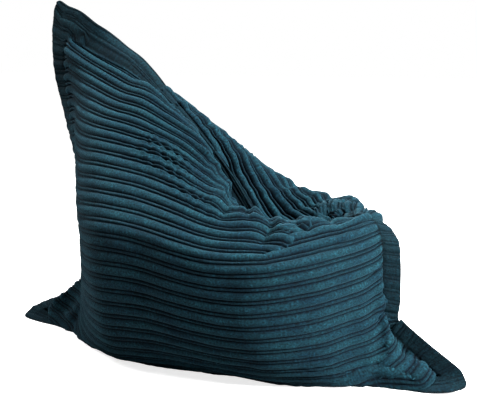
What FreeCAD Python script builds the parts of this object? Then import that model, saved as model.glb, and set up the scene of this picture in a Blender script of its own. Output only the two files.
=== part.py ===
import FreeCAD, Part
import os

# Giant corduroy bean bag chair: a flanged floor pillow stood on one long edge, its top back
# corner drawn up as the high back and its top front corner pushed in to make the seat.
#
# Frame: millimetres, +X to the front of the seat, +Y to the sitter's left, +Z up.
# Origin on the ground, under the middle of the whole bag. The two cover panels meet in the
# plane y = 0; the right-hand one is modelled and the left-hand one mirrors it.

os.makedirs("parts", exist_ok=True)
Vec = FreeCAD.Vector

# ------------------------------------------------------------------ driving dimensions
HALF_LENGTH = 900.0          # from the origin to either bottom corner, border included
BORDER = 60.0                # flat stitched border round the two panels
BORDER_WALL = 5.0            # one panel's share of the border: cloth folded on itself
COVER_WALL = 5.0             # plush corduroy
LINER_WALL = 1.2             # woven polyester inner bag
CLEARANCE = 2.0              # free space between cover, inner bag and beads
LINER_FLOOR = 12.0           # underside of the inner bag over the ground
BEAD_FLOOR = 17.0            # underside of the beads over the ground

# The girth lines of one panel run from its back seam to its front seam. Both seams are
# given as (x, z) where each girth line starts and ends, from the ground upwards.
BACK_SEAM = [(-840, 0), (-752, 72), (-660, 140), (-640, 290), (-640, 460), (-648, 640),
             (-658, 810), (-668, 950), (-674, 1050), (-672, 1126)]
FRONT_SEAM = [(840, 0), (752, 72), (655, 150), (622, 220), (614, 285), (611, 345),
              (608, 402), (602, 452), (592, 498), (570, 536)]

# The nine stations between them, back to front: half width where the bag rests on the
# ground, half width of the belly, distance of the crest (the rounded arm beside the seat)
# from the seam plane, height of the crest, and height of the top seam, which is the ridge of
# the back and then the floor of the seat.
HALF_FOOT = [95, 165, 245, 270, 240, 212, 192, 150, 60]
HALF_WIDTH = [215, 325, 390, 420, 434, 438, 434, 412, 325]
CREST_OFFSET = [56, 70, 74, 82, 112, 175, 205, 205, 135]
CREST_HEIGHT = [1035, 992, 945, 880, 780, 660, 592, 566, 560]
SEAM_HEIGHT = [1074, 1012, 938, 830, 690, 545, 430, 405, 465]

# One girth of the bag, from the ground up to the belly: share of the way from the foot out to
# the belly, and height. From there up to the crest: share of the way from the crest out to
# the belly, and share of the way up.
GIRTH_LOW = [(0.0, 0), (0.45, 80), (0.75, 185), (0.97, 300), (1.03, 410)]
GIRTH_HIGH = [(0.90, 0.42), (0.54, 0.86)]
CREST_RISE = 1.02            # the net's crest over the cloth's
HOLLOW_SHARE = 0.50          # the middle line of the seat's side wall: its share of the
HOLLOW_LEAN = 0.60           # crest's offset, and how far down the wall it lies
SKIN_STATIONS = 20           # the cloth is drawn as this many flat steps along the bag
SKIN_LINES = 15              # and this many round half a girth
FOOT_PULL = 400.0            # a raised foot is drawn in by its height over this
FLATTEST = 0.35              # least share of a normal that counts where a rim is moved in

# Outer edge of the border in the seam plane, (x, z), from the bottom back corner over the
# back's tip to where the border lies down in the seat, and from the front of the seat to
# the bottom front corner.
BORDER_BACK = [(-900, 0), (-894, 46), (-795, 118), (-705, 172), (-688, 300), (-690, 460),
               (-706, 650), (-724, 860), (-734, 1070), (-728, 1200), (-700, 1244),
               (-650, 1240), (-560, 1196), (-455, 1122), (-350, 1046), (-250, 968),
               (-160, 880), (-90, 790)]
BORDER_INSIDE = [(-120, 560), (60, 380), (300, 300), (480, 320)]
BORDER_FRONT = [(560, 520), (592, 556), (634, 534), (656, 470), (672, 400), (684, 330),
                (690, 262), (664, 206), (712, 184), (800, 128), (892, 46), (900, 0)]

# ------------------------------------------------------------------ zips
CHAIN_HALF = 436.0           # half the length of a zip's two coils
TAPE_HALF = 455.0            # half the length of its tapes
SLOT_HALF = 450.0            # half the length of the opening in the cloth
SLOT_SIDE = 6.5              # from the seam plane to the cloth's edge beside a chain
COIL_NEAR = 0.8              # from the seam plane to a coil and its tape
COIL_FAR = 3.4
COIL_HEIGHT = 2.4
TAPE_FAR = 18.0
TAPE_WALL = 0.7
STOP_LENGTH = 3.0
SLIDER_PARK = 425.0          # the slider's middle with the zip shut
SLIDER_LENGTH = 14.0
SLIDER_SIDE = 4.95           # half width at its shoulders
SLIDER_TAIL = 4.45           # half width at its tail
SLIDER_PLATE = 1.2
SLIDER_FREE = 0.35           # running clearance on coil and tape
SLIDER_NOSE = 1.5            # corner cut off each shoulder
DIVIDER_SETBACK = 1.0        # from the slider's front edge to the divider
DIVIDER_LENGTH = 4.5
DIVIDER_POINT = 1.2          # length of the divider's tapered tail
DIVIDER_SIDE = 0.45
LUG_LENGTH = 4.5             # the lug is all there is to pull by: no tab, so no child opens it
LUG_SIDE = 0.8
LUG_DROP = 0.8
COIL_CHAMFER = 0.7
BITE = 0.2                   # how far joined pieces of one solid reach into each other


# ------------------------------------------------------------------ the panel surface
def girth_point(station, line):
    """A net point of the right-hand panel: line 0 on the ground, the last one the top seam."""
    last_station = len(HALF_WIDTH) + 1
    last_line = len(BACK_SEAM) - 1
    back_x, back_z = BACK_SEAM[line]
    front_x, front_z = FRONT_SEAM[line]
    if station == 0:
        return Vec(back_x, 0, back_z)
    if station == last_station:
        return Vec(front_x, 0, front_z)
    x = back_x + (front_x - back_x) * station / last_station
    width = HALF_WIDTH[station - 1]
    offset = CREST_OFFSET[station - 1]
    crest = CREST_HEIGHT[station - 1] * CREST_RISE
    seam = SEAM_HEIGHT[station - 1]
    if line < len(GIRTH_LOW):
        foot = HALF_FOOT[station - 1]
        share, height = GIRTH_LOW[line]
        return Vec(x, -foot - (width - foot) * share, height)
    if line < last_line - 2:
        belly = GIRTH_LOW[-1][1]
        share, rise = GIRTH_HIGH[line - len(GIRTH_LOW)]
        return Vec(x, -offset - (width - offset) * share, belly + (crest - belly) * rise)
    if line == last_line - 2:
        return Vec(x, -offset, crest)
    if line == last_line - 1:
        return Vec(x, -offset * HOLLOW_SHARE, crest + (seam - crest) * HOLLOW_LEAN)
    return Vec(x, 0, seam)


def panel_net():
    stations = len(HALF_WIDTH) + 2
    lines = len(BACK_SEAM)
    return [[girth_point(i, j) for j in range(lines)] for i in range(stations)]


def knots_of(count):
    """Knots and multiplicities of a clamped cubic over that many control points."""
    spans = count - 3
    return list(range(spans + 1)), [4] + [1] * (spans - 1) + [4]


def outward(grid, i, j):
    """Outward normal of the grid at one of its points."""
    along = grid[min(i + 1, len(grid) - 1)][j] - grid[max(i - 1, 0)][j]
    upward = grid[i][min(j + 1, len(grid[0]) - 1)] - grid[i][max(j - 1, 0)]
    normal = along.cross(upward)
    normal.normalize()
    return normal


def slide_in(normal, plane, distance):
    """The move that takes a rim point in by the distance without leaving the rim's plane."""
    flat = Vec(normal.x, normal.y * (plane != "y"), normal.z * (plane != "z"))
    size = max(flat.Length, FLATTEST)
    flat.normalize()
    return flat * (distance / size)


def meet(corner, first, second):
    """Where a corner of the seam plane goes when its two sides move by the given moves."""
    det = first.x * second.z - first.z * second.x
    a = first.Length ** 2
    b = second.Length ** 2
    x = (a * second.z - b * first.z) / det
    z = (first.x * b - second.x * a) / det
    return Vec(corner.x - x, 0, corner.z - z)


def inset_net(inset):
    """The panel's net moved in by the inset, its rim still in the seam plane and ground."""
    net = panel_net()
    if inset == 0:
        return net
    last_i = len(net) - 1
    last_j = len(net[0]) - 1
    moved = [list(line) for line in net]
    for i in range(last_i + 1):
        for j in range(last_j + 1):
            if i in (0, last_i) and j in (0, last_j):
                continue
            normal = outward(net, i, j)
            if i in (0, last_i) or j == last_j:
                moved[i][j] = net[i][j] - slide_in(normal, "y", inset)
            elif j == 0:
                moved[i][j] = net[i][j] - slide_in(normal, "z", inset)
            else:
                moved[i][j] = net[i][j] - normal * inset
    for i, beside in ((0, 1), (last_i, last_i - 1)):
        side = slide_in(outward(net, i, last_j - 1), "y", inset)
        top = slide_in(outward(net, beside, last_j), "y", inset)
        moved[i][last_j] = meet(net[i][last_j], side, top)
        slope = slide_in(outward(net, i, 1), "y", inset)
        moved[i][0] = net[i][0] - Vec(slope.Length ** 2 / slope.x, 0, 0)
    return moved


def skin(inset, ground):
    """Points evenly spaced on the panel's inset surface, cut off at a raised ground."""
    net = inset_net(inset)
    knots_u, mults_u = knots_of(len(net))
    knots_v, mults_v = knots_of(len(net[0]))
    surface = Part.BSplineSurface()
    surface.buildFromPolesMultsKnots(net, mults_u, mults_v, knots_u, knots_v,
                                     False, False, 3, 3)
    step_u = knots_u[-1] / SKIN_STATIONS
    step_v = knots_v[-1] / SKIN_LINES
    points = [[surface.value(i * step_u, j * step_v) for j in range(SKIN_LINES + 1)]
              for i in range(SKIN_STATIONS + 1)]
    pull = 1 - ground / FOOT_PULL
    for line in points:
        foot = line[0] + (line[1] - line[0]) * (ground / line[1].z)
        line[0] = Vec(foot.x * pull, foot.y * pull, ground)
    return points


def flat_face(points):
    return Part.Face(Part.makePolygon(points + points[:1]))


def skin_facets(points):
    """Two flat facets for each step of the cloth."""
    faces = []
    for line, following in zip(points, points[1:]):
        for j in range(SKIN_LINES):
            corners = [line[j], following[j], following[j + 1], line[j + 1]]
            if line is points[0] and j == SKIN_LINES - 1:
                # three of these corners lie in the seam plane, so the other diagonal is used
                corners = corners[1:] + corners[:1]
            faces.append(flat_face(corners[:3]))
            faces.append(flat_face([corners[0], corners[2], corners[3]]))
    return faces


def sole(points):
    return flat_face([line[0] for line in points])


def rim_strips(outer, inner):
    """The cut edge of a panel in the seam plane, all the way round."""
    loops = []
    for points in (outer, inner):
        top = [line[-1] for line in points]
        loops.append(points[0] + top[1:] + points[-1][-2::-1])
    strips = []
    for k in range(len(loops[0])):
        strips.append(flat_face([loops[0][k - 1], loops[0][k], loops[1][k], loops[1][k - 1]]))
    return strips


def solid_of(faces):
    shell = Part.makeShell(faces)
    shell.sewShape()
    return Part.makeSolid(shell)


def panel_wall(outer, inner):
    """A hollow right-hand panel between two skins, open only at the seam plane."""
    faces = skin_facets(outer) + skin_facets(inner)
    return solid_of(faces + [sole(outer), sole(inner)] + rim_strips(outer, inner))


def bag_solid(points):
    """Both panels' skins closed over a flat sole."""
    left = [[Vec(p.x, -p.y, p.z) for p in line] for line in points]
    return solid_of(skin_facets(points) + skin_facets(left) + [sole(points), sole(left)])


def block(x0, x1, y0, y1, z0, z1):
    return Part.makeBox(x1 - x0, y1 - y0, z1 - z0, Vec(x0, y0, z0))


def mirrored(shape):
    return shape.mirror(Vec(0, 0, 0), Vec(0, 1, 0))


# ------------------------------------------------------------------ cloth pieces
def border_plate():
    """The upright border in the seam plane, filled in across the bag."""
    outline = BORDER_BACK + BORDER_INSIDE + BORDER_FRONT
    face = flat_face([Vec(x, -BORDER_WALL, z) for x, z in outline])
    return face.extrude(Vec(0, BORDER_WALL, 0))


def bottom_flap():
    """The bottom border, laid flat on the ground on its own panel's side."""
    nick = BORDER / 3
    outline = [(-HALF_LENGTH, 0), (-HALF_LENGTH, -BORDER + nick), (-HALF_LENGTH + nick, -BORDER),
               (HALF_LENGTH - nick, -BORDER), (HALF_LENGTH, -BORDER + nick), (HALF_LENGTH, 0)]
    face = flat_face([Vec(x, y, 0) for x, y in outline])
    return face.extrude(Vec(0, 0, BORDER_WALL))


def zip_slot(low, high):
    return block(-SLOT_HALF, SLOT_HALF, -SLOT_SIDE, SLOT_SIDE, low, high)


def cover_panel():
    outer = skin(0, 0)
    inner = skin(COVER_WALL, COVER_WALL)
    borders = border_plate().fuse(bottom_flap()).cut(bag_solid(inner))
    panel = panel_wall(outer, inner).fuse(borders)
    return panel.cut(zip_slot(-1, COVER_WALL + 1)).removeSplitter()


def liner_panel():
    inset = COVER_WALL + CLEARANCE
    outer = skin(inset, LINER_FLOOR)
    inner = skin(inset + LINER_WALL, LINER_FLOOR + LINER_WALL)
    return panel_wall(outer, inner).cut(zip_slot(LINER_FLOOR - 1, BEAD_FLOOR))


def bead_fill():
    return bag_solid(skin(COVER_WALL + LINER_WALL + 2 * CLEARANCE, BEAD_FLOOR))


# ------------------------------------------------------------------ zip pieces
def zip_tape(plane):
    """The right-hand tape, sewn on top of the cloth whose inner face is at the plane."""
    return block(-TAPE_HALF, TAPE_HALF, -TAPE_FAR, -COIL_NEAR, plane, plane + TAPE_WALL)


def zip_coil(plane):
    """The right-hand coil under its tape: a half-round strand."""
    bar = block(-CHAIN_HALF, CHAIN_HALF, -COIL_FAR, -COIL_NEAR, plane - COIL_HEIGHT, plane)
    low = [e for e in bar.Edges if e.BoundBox.XLength > 1 and e.BoundBox.ZMax < plane - 1]
    return bar.makeChamfer(COIL_CHAMFER, low)


def zip_stops(plane):
    """Two clips at the shut end, one on each tape, and one across both at the other."""
    low = plane - COIL_HEIGHT
    front = block(CHAIN_HALF, CHAIN_HALF + STOP_LENGTH, -COIL_FAR, -COIL_NEAR, low, plane)
    back = block(-CHAIN_HALF - STOP_LENGTH, -CHAIN_HALF, -COIL_FAR, COIL_FAR, low, plane)
    return Part.makeCompound([front, mirrored(front), back])


def slider_plate(low):
    """A slider plate: square shoulders in front, a narrower tail behind."""
    half = SLIDER_LENGTH / 2
    cut = half - SLIDER_NOSE
    outline = [(-half, -SLIDER_TAIL), (cut, -SLIDER_SIDE), (half, -SLIDER_SIDE + SLIDER_NOSE),
               (half, SLIDER_SIDE - SLIDER_NOSE), (cut, SLIDER_SIDE), (-half, SLIDER_TAIL)]
    face = flat_face([Vec(x, y, low) for x, y in outline])
    return face.extrude(Vec(0, 0, SLIDER_PLATE))


def slider_divider(low, high):
    """The wedge between the two coils, joined to both plates."""
    front = SLIDER_LENGTH / 2 - DIVIDER_SETBACK
    tail = front - DIVIDER_LENGTH
    neck = tail + DIVIDER_POINT
    outline = [(tail, 0), (neck, -DIVIDER_SIDE), (front, -DIVIDER_SIDE),
               (front, DIVIDER_SIDE), (neck, DIVIDER_SIDE)]
    face = flat_face([Vec(x, y, low - BITE) for x, y in outline])
    return face.extrude(Vec(0, 0, high - low + 2 * BITE))


def zip_slider(plane):
    """Two plates on a divider, lips that hold the coils, and a lug with no pull tab."""
    channel = plane - COIL_HEIGHT - SLIDER_FREE
    roof = plane + TAPE_WALL + SLIDER_FREE
    bottom = channel - SLIDER_PLATE
    half = SLIDER_LENGTH / 2
    inner = COIL_FAR + SLIDER_FREE
    lip = block(-half, half - SLIDER_NOSE, -SLIDER_TAIL, -inner, channel - BITE,
                plane - SLIDER_FREE)
    lug = block(-LUG_LENGTH / 2, LUG_LENGTH / 2, -LUG_SIDE, LUG_SIDE, bottom - LUG_DROP,
                bottom + BITE)
    others = [slider_plate(roof), lip, mirrored(lip), slider_divider(channel, roof), lug]
    slider = slider_plate(bottom).fuse(others).removeSplitter()
    return slider.translated(Vec(SLIDER_PARK, 0, 0))


def zip_set(name, plane):
    """All pieces of one zip, by node name."""
    tape = zip_tape(plane)
    coil = zip_coil(plane)
    return {
        name + "_zip_tape_right": tape,
        name + "_zip_tape_left": mirrored(tape),
        name + "_zip_coil_right": coil,
        name + "_zip_coil_left": mirrored(coil),
        name + "_zip_stops": zip_stops(plane),
        name + "_zip_slider": zip_slider(plane),
    }


def main():
    cover = cover_panel()
    liner = liner_panel()
    pieces = {
        "cover_panel_right": cover,
        "cover_panel_left": mirrored(cover),
        "liner_panel_right": liner,
        "liner_panel_left": mirrored(liner),
        "bead_fill": bead_fill(),
    }
    pieces.update(zip_set("cover", COVER_WALL))
    pieces.update(zip_set("liner", LINER_FLOOR + LINER_WALL))
    for name, shape in pieces.items():
        shape.exportStep("parts/" + name + ".step")


main()
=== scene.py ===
import bmesh
import bpy
import numpy as np
from math import radians
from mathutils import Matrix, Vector

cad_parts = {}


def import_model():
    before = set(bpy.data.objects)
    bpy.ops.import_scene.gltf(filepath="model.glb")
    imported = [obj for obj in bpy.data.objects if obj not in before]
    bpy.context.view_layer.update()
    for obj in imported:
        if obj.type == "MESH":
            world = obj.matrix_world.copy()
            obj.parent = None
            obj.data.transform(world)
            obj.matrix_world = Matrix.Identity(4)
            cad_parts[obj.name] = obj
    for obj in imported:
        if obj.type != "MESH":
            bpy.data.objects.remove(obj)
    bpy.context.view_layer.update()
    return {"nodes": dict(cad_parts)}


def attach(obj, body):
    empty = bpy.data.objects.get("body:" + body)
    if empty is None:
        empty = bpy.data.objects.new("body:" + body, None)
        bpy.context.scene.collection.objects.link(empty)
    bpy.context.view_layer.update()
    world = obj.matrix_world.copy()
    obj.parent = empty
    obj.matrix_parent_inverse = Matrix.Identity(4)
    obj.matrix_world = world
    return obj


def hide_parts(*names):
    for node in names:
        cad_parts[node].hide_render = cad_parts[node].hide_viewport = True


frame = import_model()

# ---- the cut, in metres
LENGTH = 1.80
HEIGHT = 1.40
FLANGE = 0.06  # width of the stitched border
STITCH_CORNER = 0.14  # radius of the stitched line's corners
CUT_CORNER = 0.024  # radius of the border's own corners

# Where the seam line lies in the settled bag: distance along the cut's edge, then x and z. The
# top front corner is tucked down into the seat, and its two seams go down there with it.
BACK_SEAM = [
    (0.06, -0.845, 0.035), (0.15, -0.765, 0.065), (0.24, -0.685, 0.105), (0.33, -0.612, 0.155),
    (0.42, -0.585, 0.235), (0.57, -0.59, 0.385), (0.77, -0.62, 0.588), (1.085, -0.668, 0.908),
    (1.22, -0.684, 1.045), (1.34, -0.692, 1.194)]
FRONT_SEAM = [
    (0.06, 0.822, 0.045), (0.17, 0.738, 0.095), (0.27, 0.655, 0.155), (0.33, 0.612, 0.185),
    (0.45, 0.608, 0.275), (0.58, 0.606, 0.395), (0.69, 0.598, 0.482), (0.76, 0.57, 0.532),
    (0.81, 0.53, 0.55), (0.88, 0.465, 0.525), (0.97, 0.395, 0.45), (1.06, 0.35, 0.36),
    (1.2, 0.32, 0.22), (1.34, 0.3, 0.08)]
TOP_SEAM = [
    (0.06, -0.692, 1.194), (0.12, -0.634, 1.175), (0.2, -0.563, 1.13), (0.26, -0.52, 1.107),
    (0.33, -0.455, 1.08), (0.405, -0.39, 1.042), (0.48, -0.332, 0.993), (0.565, -0.268, 0.935),
    (0.65, -0.195, 0.88), (0.74, -0.125, 0.818), (0.83, -0.06, 0.755), (0.925, 0.005, 0.685),
    (1.02, 0.065, 0.605), (1.12, 0.125, 0.52), (1.24, 0.2, 0.43), (1.38, 0.255, 0.33),
    (1.52, 0.28, 0.23), (1.74, 0.3, 0.08)]
BOTTOM_SEAM = [
    (0.06, -0.845, 0.035), (0.16, -0.75, 0.015), (0.28, -0.635, 0), (0.9, 0, 0), (1.52, 0.62, 0),
    (1.64, 0.735, 0.015), (1.74, 0.822, 0.045)]
# Direction in which each border stands off its seam: distance along the edge, then x, y, z.
BACK_BORDER = [
    (0.06, -0.75, 0.15, 0), (0.15, -0.5, 0.5, 0.22), (0.24, -0.35, 0.7, 0.25),
    (0.33, -0.45, 0.8, 0.2), (0.42, -0.35, 0.92, 0), (0.655, -0.55, 0.83, 0),
    (0.8, -0.72, 0.69, 0), (1.03, -0.93, 0.35, 0), (1.18, -1, 0.05, 0.02),
    (1.27, -0.9, 0.05, 0.25), (1.34, -0.55, 0.05, 0.8)]
FRONT_BORDER = [
    (0.06, 0.8, 0.1, 0.45), (0.17, 0.62, 0, 0.78), (0.27, 0.45, 0, 0.85), (0.33, 0.8, 0.15, 0.25),
    (0.38, 0.92, 0.38, 0), (0.5, 0.92, 0.38, 0), (0.58, 0.88, 0.46, 0), (0.66, 0.72, 0.68, -0.05),
    (0.74, 0.35, 0.9, -0.2), (0.8, -0.1, 0.9, -0.35), (0.88, -0.5, 0.7, -0.45),
    (1, -0.8, 0.3, -0.3), (1.34, -0.9, 0, 0.1)]
TOP_BORDER = [
    (0.06, 0.56, 0, 0.83), (0.12, 0.6, 0, 0.8), (0.2, 0.65, 0.1, 0.75), (0.26, 0.5, 0.5, 0.6),
    (0.33, 0.35, 0.85, 0.3), (0.43, 0.4, 0.86, 0.22), (0.51, 0.5, 0.8, 0.05),
    (0.6, 0.66, 0.5, -0.35), (0.8, 0.74, 0.15, -0.6), (1.1, 0.74, 0.1, -0.6), (1.3, 0.7, 0, -0.6),
    (1.74, 0.9, 0, 0.1)]
BOTTOM_BORDER = [
    (0.06, -0.5, -0.65, -0.55), (0.16, -0.25, -0.93, -0.25), (0.28, 0, -1, 0), (0.9, 0, -1, 0),
    (1.52, 0, -1, 0), (1.64, 0, -0.95, -0.25), (1.74, 0.5, -0.65, -0.55)]

# Where the cut's corners come to lie: 1 for a front one, 1 for a top one, then x, y, z. The
# tucked one finds its own place.
CORNERS = [(0, 0, -0.916, -0.03, 0.006), (1, 0, 0.902, 0.01, 0.02), (0, 1, -0.706, 0, 1.268)]
# How firmly these are held in each round.
SEAM_HOLD = 0.5
BORDER_HOLD = 0.25
CORNER_HOLD = 0.3

# The settled beads' shape on one side, from the floor up and over the arm into the seat. Each
# row is a station: x, half width at the floor, then y and z of the belly, of two places up the
# side, of the crest and of the inner wall, and the height of the seat's floor in the middle.
ROOM = [
    (-0.9, 0.02, 0.02, 0.02, 0.02, 0.03, 0.015, 0.04, 0.01, 0.045, 0.005, 0.05, 0.05),
    (-0.76, 0.05, 0.05, 0.04, 0.045, 0.07, 0.03, 0.09, 0.02, 0.1, 0.01, 0.105, 0.105),
    (-0.67, 0.08, 0.06, 0.05, 0.02, 0.12, 0.004, 0.6, 0.018, 1.07, 0.01, 1.1, 1.11),
    (-0.63, 0.095, 0.07, 0.07, 0.02, 0.17, 0.022, 0.72, 0.03, 1.05, 0.015, 1.085, 1.1),
    (-0.6, 0.11, 0.05, 0.12, 0.02, 0.3, 0.05, 0.75, 0.035, 1.045, 0.015, 1.075, 1.09),
    (-0.57, 0.13, 0.075, 0.22, 0.075, 0.48, 0.09, 0.78, 0.04, 1.03, 0.02, 1.06, 1.075),
    (-0.48, 0.19, 0.185, 0.36, 0.205, 0.58, 0.18, 0.8, 0.055, 0.99, 0.025, 1.02, 1.035),
    (-0.36, 0.235, 0.335, 0.42, 0.345, 0.57, 0.245, 0.79, 0.06, 0.955, 0.03, 0.975, 0.985),
    (-0.25, 0.27, 0.425, 0.46, 0.405, 0.56, 0.275, 0.75, 0.06, 0.945, 0.02, 0.93, 0.9),
    (-0.15, 0.265, 0.44, 0.46, 0.42, 0.55, 0.295, 0.71, 0.055, 0.88, 0.02, 0.84, 0.8),
    (-0.05, 0.25, 0.44, 0.46, 0.42, 0.54, 0.3, 0.67, 0.075, 0.795, 0.025, 0.745, 0.68),
    (0.05, 0.235, 0.448, 0.44, 0.425, 0.525, 0.325, 0.615, 0.14, 0.68, 0.06, 0.6, 0.53),
    (0.15, 0.22, 0.445, 0.43, 0.42, 0.495, 0.325, 0.565, 0.205, 0.59, 0.09, 0.51, 0.42),
    (0.25, 0.21, 0.435, 0.42, 0.41, 0.475, 0.315, 0.54, 0.215, 0.556, 0.09, 0.46, 0.37),
    (0.35, 0.2, 0.415, 0.41, 0.39, 0.465, 0.3, 0.525, 0.215, 0.54, 0.09, 0.45, 0.37),
    (0.45, 0.165, 0.345, 0.41, 0.335, 0.455, 0.25, 0.52, 0.15, 0.537, 0.07, 0.5, 0.43),
    (0.52, 0.14, 0.25, 0.38, 0.245, 0.445, 0.18, 0.515, 0.085, 0.54, 0.03, 0.53, 0.5),
    (0.57, 0.11, 0.135, 0.3, 0.125, 0.43, 0.1, 0.5, 0.05, 0.54, 0.02, 0.54, 0.54),
    (0.61, 0.085, 0.085, 0.09, 0.04, 0.2, 0.03, 0.3, 0.02, 0.38, 0.01, 0.4, 0.4),
    (0.66, 0.07, 0.075, 0.06, 0.065, 0.095, 0.045, 0.135, 0.02, 0.16, 0.01, 0.165, 0.165),
    (0.76, 0.05, 0.055, 0.04, 0.05, 0.065, 0.035, 0.08, 0.02, 0.09, 0.01, 0.095, 0.095),
    (0.9, 0.02, 0.02, 0.02, 0.02, 0.03, 0.015, 0.04, 0.01, 0.045, 0.005, 0.05, 0.05)]
# Shares that the belly and the two places over it are drawn in to, to leave room for puffs.
TRIM = (0.98, 0.965, 0.95)
# The flare from the floor up to the belly: share of the way out, and share of the way up.
FLARE = [(0.47, 0.19), (0.82, 0.52)]
OUTLINE_STEPS = 6  # straight steps between two knots of a station's outline
CELL = 0.02  # the grid that holds the distance from the beads' shape
ROOM_LOW = (-0.96, -2 * CELL, -0.06)
ROOM_SHAPE = (97, 32, 66)
ROOM_REACH = 0.08  # most that cloth goes back at once; cloth further inside is left alone
SLOPE_FLOOR = 0.05  # keeps a step along a flat gradient small
# The furthest back that cloth inside the seam reaches, by height.
BACK_LIMIT = [
    (0, -0.9), (0.12, -0.72), (0.22, -0.605), (0.4, -0.6), (0.54, -0.61), (0.7, -0.635),
    (1.2, -0.72)]

# The cloth's length along the cut, as gathered: place up the cut, share.
GATHERED = [(0, 1), (0.2, 1), (0.32, 0.965), (0.5, 0.955), (1.2, 0.955), (1.3, 0.98), (1.4, 1)]

# ---- settling
PRESSURE = 160  # push of the beads while the bag fills, in pascals
PRESSURE_DROP = 0.8  # share of it that goes once the bag is full
BEAD_DENSITY = 20
BEAD_TOP = 0.9
EARTH = 9.8
TICK = 1 / 60  # seconds in a frame
SEED = 3
JITTER = 0.0015  # unevenness of the flat cloth, so that it buckles freely
FIRST_PUFF = 0.10  # the flat bag's half thickness in its middle
PUFF_RUN = 0.5  # and how far in from its seam it gets there
SQUEEZE = 0.5  # how stiff a thread is in push; in pull it is 1
SHEAR = 0.06  # how stiff the weave's diagonals are
FOLD_REACH = 2  # grid steps over which the cloth resists folding
STIFF_ALONG = 0.2
STIFF_UP = 0.05
PUSH_BACK = 0.7  # how much of the way cloth outside the beads' shape goes back
DRAW_OUT = 0.05  # and how much of the way cloth inside it comes out
AIR_DRAG = 0.98  # share of its speed that cloth keeps in a frame
GROUND_DRAG = 0.3  # and cloth that touches the ground
GROUND_TOUCH = 0.002
NARROW = 0.10  # how far off the seam plane cloth may be at the start
WIDENED = 0.36  # and how much further at the end
# When each part of the settling comes in: first frame, and how many frames it takes.
HELD = (0, 60)
WIDENING = (0, 70)
FILLING = (20, 60)
ROOMING = (40, 50)
EASING_OFF = (110, 40)
# The two passes. Mass is for a square metre; the cloth is heavy so that it moves calmly.
COARSE_GRID = 0.03
COARSE = {"frames": range(170), "rounds": 14, "mass": 4, "gravity": 4, "top_speed": 3}
FINE_GRID = 0.015
FINE = {"frames": range(200, 224), "rounds": 10, "mass": 20, "gravity": 0, "top_speed": 0.3}

# ---- corduroy
# One wide and one narrow wale across the ribs: place, and height over the bare cloth.
RIB_PERIOD = 0.044
RIB_PROFILE = [
    (0, -0.0054), (0.0018, -0.004), (0.0036, -0.0019), (0.0076, 0.0001), (0.012, 0.0013),
    (0.016, 0.0017), (0.02, 0.0013), (0.0244, 0.0001), (0.0284, -0.0019), (0.0302, -0.004),
    (0.032, -0.0054), (0.0334, -0.004), (0.0354, -0.0016), (0.038, -0.0006), (0.0406, -0.0016),
    (0.0426, -0.004)]
RIB_CROWN = 0.0017
RIB_DEPTH = 0.0071  # from the crown down to the groove
LUMP_STEP = 0.016  # width of the two rows of lumps on a wide wale
LUMP_LAST = 0.012  # and of the one on a narrow wale
# How far the right-hand panel's ribs ride up, along the cut; below 0 they ride down.
SLIDE = [
    (0, -0.022), (0.06, -0.022), (0.11, -0.009), (0.17, 0), (0.45, 0.01), (0.66, 0.045),
    (0.78, 0.065), (1.08, 0.1), (1.28, 0.108), (1.45, 0.08), (1.68, 0.018), (1.8, 0)]
SLIDE_LOW = (0.07, 0.13)  # where up the cut they start to, and over how far
SLIDE_HIGH = (1.34, 0.36)  # and where they stop
# The crest of the arm beside the seat in the cut, and the count of puffs along it.
CREST = [
    (0, 1.4), (0.4, 1.33), (0.6, 1.27), (0.8, 1.2), (0.96, 1.12), (1.08, 1.04), (1.2, 0.97),
    (1.35, 0.93), (1.52, 0.9), (1.8, 0.88)]
PUFFS = [(0, 0), (0.96, 0.1), (1.08, 1), (1.25, 2), (1.36, 3), (1.47, 4), (1.58, 5), (1.8, 7)]
PUFF_HEIGHT = 0.034
FOLD_HEIGHT = 0.0085  # long folds down the seat's side
BUNCH_HEIGHT = 0.006  # and the bunching across them
SEAT_DEEPER = 1.9  # how much deeper the ribs are in the seat than on the belly
ARM_DEEPER = 0.85  # and on the arm
BACK_DEEPER = 0.8  # and beside the back seam
KNOBS_SHALLOWER = 1.3
# Clusters of small wrinkles: place in the cut, how far they reach, and how high they stand.
WRINKLES = [
    (0.78, 1.07, 0.12, 0.06, 0.014), (0.97, 1, 0.1, 0.035, 0.01), (1.42, 0.4, 0.07, 0.03, 0.005)]
WRINKLE_PERIOD = 0.045  # length of one lump along its rib
KNOB_HEIGHT = 0.011  # the knobs where the seat's front edge is bunched
KNOB_PERIOD = 0.036
ROW_SHIFT = 0.37  # each row of lumps starts this share of a lump further on
UNEVEN = (0.0012, 0.0005)  # the pile's own waves, broad and small
NOISE_CELLS = 64  # noise repeats after this many of its own steps
COLUMN_STEP = 0.011  # the drawn mesh's step along the ribs
COLUMN_GAP = 0.004  # least steps beside the places that have to be caught
ROW_GAP = 0.0008
# Those places: in from the folded edge, and in from the stitched line.
EDGE_LINES = [0, 0.0006, 0.0016, 0.003, 0.006]
STITCH_LINES = [-0.009, -0.004, -0.0015, 0.0015, 0.004, 0.008, 0.014]
PILE = 0.004  # how far the panel's outside stands off the settled cloth
BORDER_WALL = 0.003  # and the border's
RIM = 0.004  # radius of the border's folded edge
STITCH_SPREAD = (0.010, 0.016)  # how far the stitches draw the border and the panel down
BORDER_RIB = 0.4  # depth of the ribs on the border, pressed flat
STITCH_SHADE = 0.007  # half width of the shade along the stitches
LEAST_HEIGHT = 0.0004  # the cover is drawn no nearer to the ground

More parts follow.
